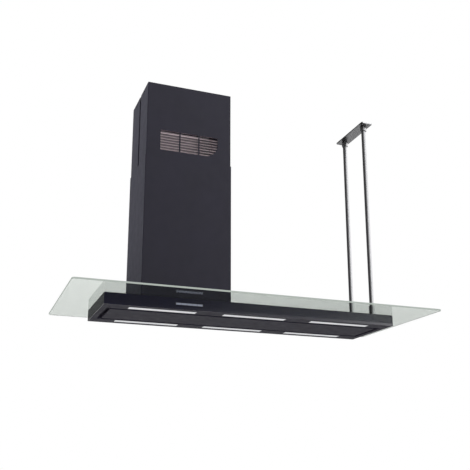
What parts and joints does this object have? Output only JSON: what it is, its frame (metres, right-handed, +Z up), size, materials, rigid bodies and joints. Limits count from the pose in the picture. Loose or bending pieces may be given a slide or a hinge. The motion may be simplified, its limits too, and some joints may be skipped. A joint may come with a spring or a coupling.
{
  "type": "island range hood",
  "caption": "Island range hood: slim black canopy under a wide glass plate, off-centre telescopic chimney with vents, hanging rods, perimeter suction panel, strip lights and push buttons.",
  "frame": {"origin": "centre of the whole hood at the canopy underside level", "axes": "+X along the canopy towards the rods, -Y towards the control strip, +Z up to the ceiling"},
  "size_m": [1.39, 0.6, 0.88],
  "materials": {
    "black_gloss_paint": "gloss baked enamel",
    "black_satin_paint": "fine matte powder coat",
    "zinc_plated_steel": "zinc plated sheet",
    "galvanised_scroll": "galvanised sheet",
    "clear_glass": "clear tempered glass, polished edges",
    "black_rubber": "soft matte",
    "polished_steel": "polished",
    "steel_fasteners": "zinc plated",
    "opal_lens": "opal acrylic, lit",
    "aluminium_profile": "satin",
    "aluminium_mesh": "woven mesh",
    "circuit_board": "solder mask",
    "black_plastic": "fine moulded grain",
    "button_lens": "translucent, lit light blue",
    "motor_case": "die-cast"
  },
  "bodies": {
    "hood": {"air_box": "zinc_plated_steel", "blower_motor": "motor_case", "blower_scroll": "galvanised_scroll", "cable_gland": "black_plastic", "canopy_casing": "black_gloss_paint", "ceiling_bracket": "zinc_plated_steel", "control_bezel": "black_plastic", "control_board": "circuit_board", "cover_screws": "steel_fasteners", "filter_frame_left": "aluminium_profile", "filter_frame_right": "aluminium_profile", "filter_mesh_left": "aluminium_mesh", "filter_mesh_right": "aluminium_mesh", "frame_base": "zinc_plated_steel", "frame_bolts": "steel_fasteners", "glass_canopy": "clear_glass", "glass_seal": "black_rubber", "led_boards": "circuit_board", "led_diffuser_front_left": "opal_lens", "led_diffuser_front_middle": "opal_lens", "led_diffuser_front_right": "opal_lens", "led_diffuser_rear_left": "opal_lens", "led_diffuser_rear_middle": "opal_lens", "led_diffuser_rear_right": "opal_lens", "led_driver": "black_plastic", "led_housings": "aluminium_profile", "lower_posts": "zinc_plated_steel", "motor_bracket": "zinc_plated_steel", "outlet_collar": "black_plastic", "rod_ceiling_plate": "polished_steel", "rod_collars": "polished_steel", "rod_front": "polished_steel", "rod_grommets": "black_rubber", "rod_nuts": "steel_fasteners", "rod_rear": "polished_steel", "terminal_box": "black_plastic", "top_plate": "zinc_plated_steel", "underside_frame": "black_satin_paint", "upper_cover_front": "black_satin_paint", "upper_cover_rear": "black_satin_paint", "upper_posts": "zinc_plated_steel", "vent_grille_front": "aluminium_profile", "vent_grille_rear": "aluminium_profile"},
    "suction_panel": {"suction_panel": "black_satin_paint", "panel_hinge_pins": "steel_fasteners", "panel_magnets": "steel_fasteners"},
    "lower_cover": {"lower_cover_front": "black_satin_paint", "lower_cover_rear": "black_satin_paint", "lower_cover_clips": "zinc_plated_steel"},
    "impeller": {"impeller": "black_plastic", "motor_shaft": "steel_fasteners"},
    "damper_flap_front": {"damper_flap_front": "black_plastic"},
    "damper_flap_rear": {"damper_flap_rear": "black_plastic"},
    "filter_latch_left": {"filter_latch_left": "black_plastic"},
    "filter_latch_right": {"filter_latch_right": "black_plastic"},
    "push_button_1": {"push_button_1": "button_lens"},
    "push_button_2": {"push_button_2": "button_lens"},
    "push_button_3": {"push_button_3": "button_lens"},
    "push_button_4": {"push_button_4": "button_lens"},
    "push_button_5": {"push_button_5": "button_lens"}
  },
  "joints": [
    {"name": "panel_hinge", "type": "hinge", "parent": "hood", "child": "suction_panel", "pos_m": [0, 0.0795, 0.009], "axis": [1, 0, 0], "range_deg": [0, 85]},
    {"name": "lower_cover_slide", "type": "slide", "parent": "hood", "child": "lower_cover", "axis": [0, 0, 1], "range_m": [0, 0.27]},
    {"name": "impeller_spin", "type": "hinge", "parent": "hood", "child": "impeller", "pos_m": [-0.2625, -0.006, 0.142], "axis": [1, 0, 0], "continuous": true},
    {"name": "damper_front_hinge", "type": "hinge", "parent": "hood", "child": "damper_flap_front", "pos_m": [-0.2625, -0.004, 0.3386], "axis": [-1, 0, 0], "range_deg": [0, 80]},
    {"name": "damper_rear_hinge", "type": "hinge", "parent": "hood", "child": "damper_flap_rear", "pos_m": [-0.2625, 0.004, 0.3386], "axis": [1, 0, 0], "range_deg": [0, 80]},
    {"name": "filter_latch_left_slide", "type": "slide", "parent": "hood", "child": "filter_latch_left", "axis": [0, 1, 0], "range_m": [0, 0.0065], "stiffness_N_per_m": 300, "springref_m": -0.003},
    {"name": "filter_latch_right_slide", "type": "slide", "parent": "hood", "child": "filter_latch_right", "axis": [0, 1, 0], "range_m": [0, 0.0065], "stiffness_N_per_m": 300, "springref_m": -0.003},
    {"name": "push_button_1_press", "type": "slide", "parent": "hood", "child": "push_button_1", "axis": [0, 1, 0], "range_m": [0, 0.0012], "stiffness_N_per_m": 600, "springref_m": -0.001},
    {"name": "push_button_2_press", "type": "slide", "parent": "hood", "child": "push_button_2", "axis": [0, 1, 0], "range_m": [0, 0.0012], "stiffness_N_per_m": 600, "springref_m": -0.001},
    {"name": "push_button_3_press", "type": "slide", "parent": "hood", "child": "push_button_3", "axis": [0, 1, 0], "range_m": [0, 0.0012], "stiffness_N_per_m": 600, "springref_m": -0.001},
    {"name": "push_button_4_press", "type": "slide", "parent": "hood", "child": "push_button_4", "axis": [0, 1, 0], "range_m": [0, 0.0012], "stiffness_N_per_m": 600, "springref_m": -0.001},
    {"name": "push_button_5_press", "type": "slide", "parent": "hood", "child": "push_button_5", "axis": [0, 1, 0], "range_m": [0, 0.0012], "stiffness_N_per_m": 600, "springref_m": -0.001}
  ]
}
